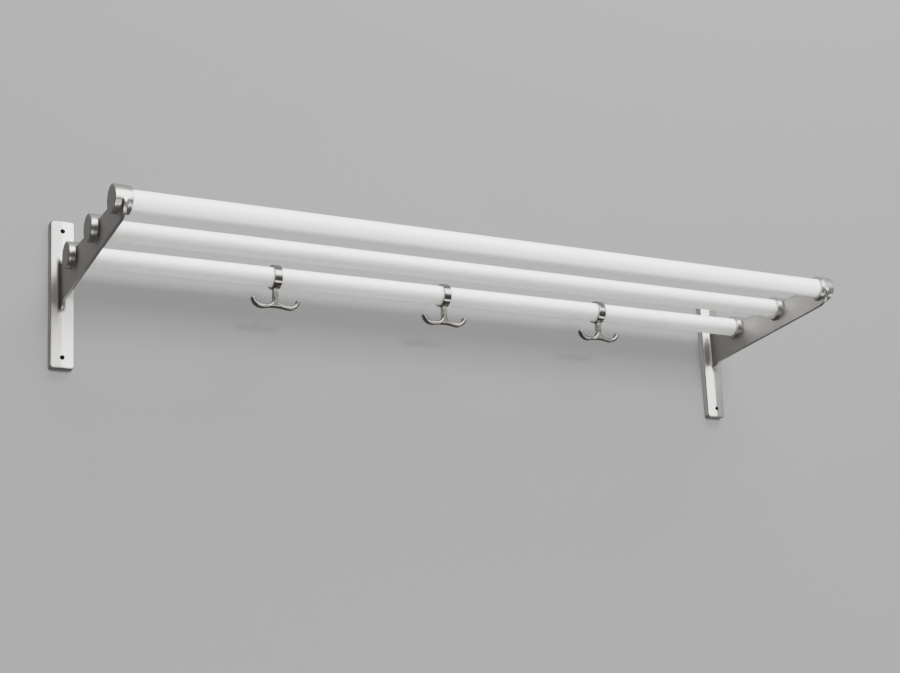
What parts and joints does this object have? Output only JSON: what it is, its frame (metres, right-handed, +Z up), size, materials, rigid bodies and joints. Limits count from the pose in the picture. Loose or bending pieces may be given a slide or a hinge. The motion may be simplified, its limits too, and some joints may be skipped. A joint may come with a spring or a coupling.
{
  "type": "wall mounted hat and coat rack",
  "caption": "Wall rack with parallel white tube rails between two cast brackets, and double coat hooks that slide along the rear rail.",
  "frame": {"origin": "in the wall plane, at the centre of the pattern of the four wall-screw holes", "axes": "+X along the rails to the right, +Y into the wall, +Z up"},
  "size_m": [1.02, 0.2816, 0.188],
  "materials": {
    "bracket_metal": "satin cast aluminium",
    "white_lacquer": "satin white lacquer",
    "hook_metal": "polished dark nickel",
    "screw_steel": "blackened steel"
  },
  "bodies": {
    "rack": {"left_bracket": "bracket_metal", "right_bracket": "bracket_metal", "rear_rail": "white_lacquer", "middle_rail": "white_lacquer", "front_rail": "white_lacquer", "left_rear_grub_screw": "screw_steel", "left_middle_grub_screw": "screw_steel", "left_front_grub_screw": "screw_steel", "right_rear_grub_screw": "screw_steel", "right_middle_grub_screw": "screw_steel", "right_front_grub_screw": "screw_steel"},
    "hook_left": {"hook_left": "hook_metal"},
    "hook_middle": {"hook_middle": "hook_metal"},
    "hook_right": {"hook_right": "hook_metal"}
  },
  "joints": [
    {"name": "hook_left_slide", "type": "slide", "parent": "rack", "child": "hook_left", "axis": [1, 0, 0], "range_m": [-0.214, 0.0423]},
    {"name": "hook_middle_slide", "type": "slide", "parent": "rack", "child": "hook_middle", "axis": [1, 0, 0], "range_m": [-0.1307, 0.1287]},
    {"name": "hook_right_slide", "type": "slide", "parent": "rack", "child": "hook_right", "axis": [1, 0, 0], "range_m": [-0.0493, 0.207]}
  ]
}
